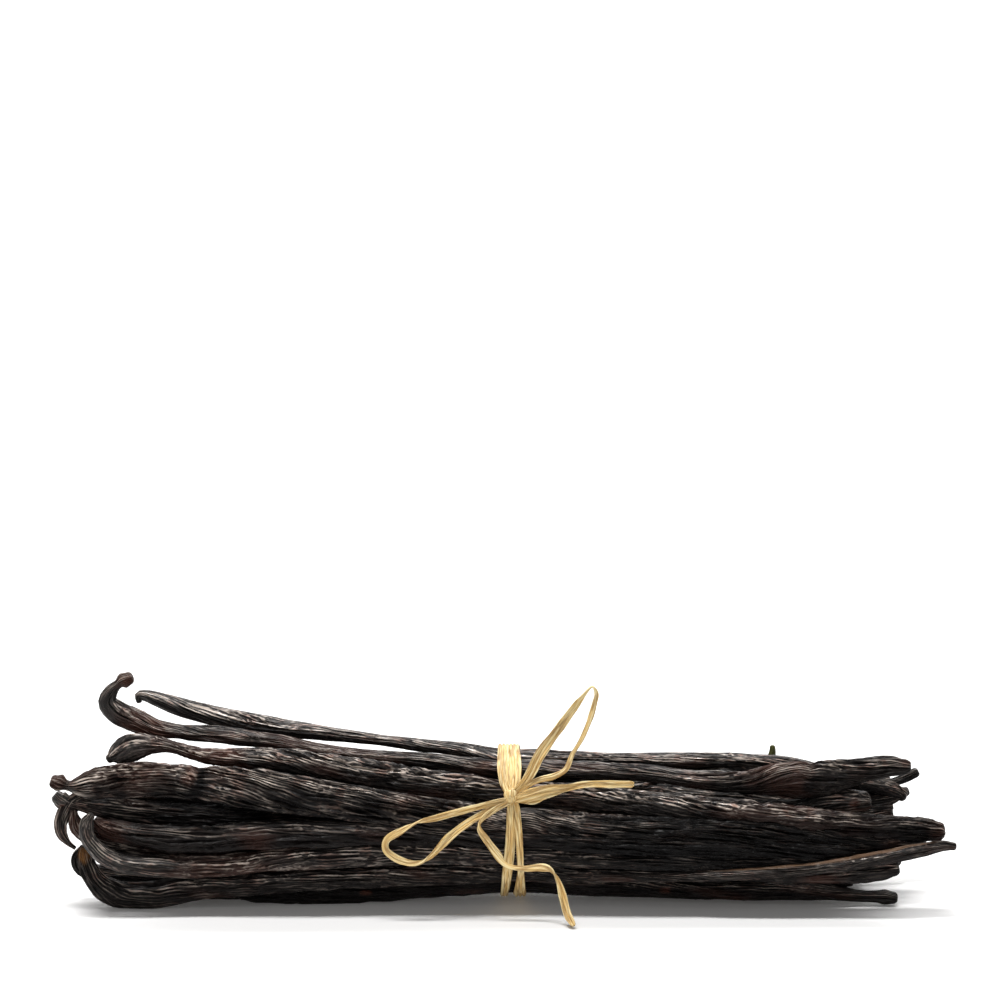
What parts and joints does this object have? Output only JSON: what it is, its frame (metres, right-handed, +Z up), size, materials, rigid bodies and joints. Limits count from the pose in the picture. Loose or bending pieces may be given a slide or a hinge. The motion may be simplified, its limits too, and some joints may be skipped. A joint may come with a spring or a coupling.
{
  "type": "vanilla pod bundle",
  "caption": "Bundle of cured vanilla pods lying on its side, tied round the middle with raffia that ends in two loops and two loose tails.",
  "frame": {"origin": "on the surface the bundle lies on, under the middle of the whole part", "axes": "+X along the pods towards their short straight ends, +Z up, the knot faces -Y"},
  "size_m": [0.1872, 0.0521, 0.0489],
  "materials": {
    "pod_skin": "dark brown, wrinkled lengthwise, oily sheen",
    "raffia": "pale straw, fine lengthwise fibres, dull"
  },
  "bodies": {
    "root": {"vanilla_pods": "pod_skin", "raffia_tie": "raffia"}
  },
  "joints": []
}
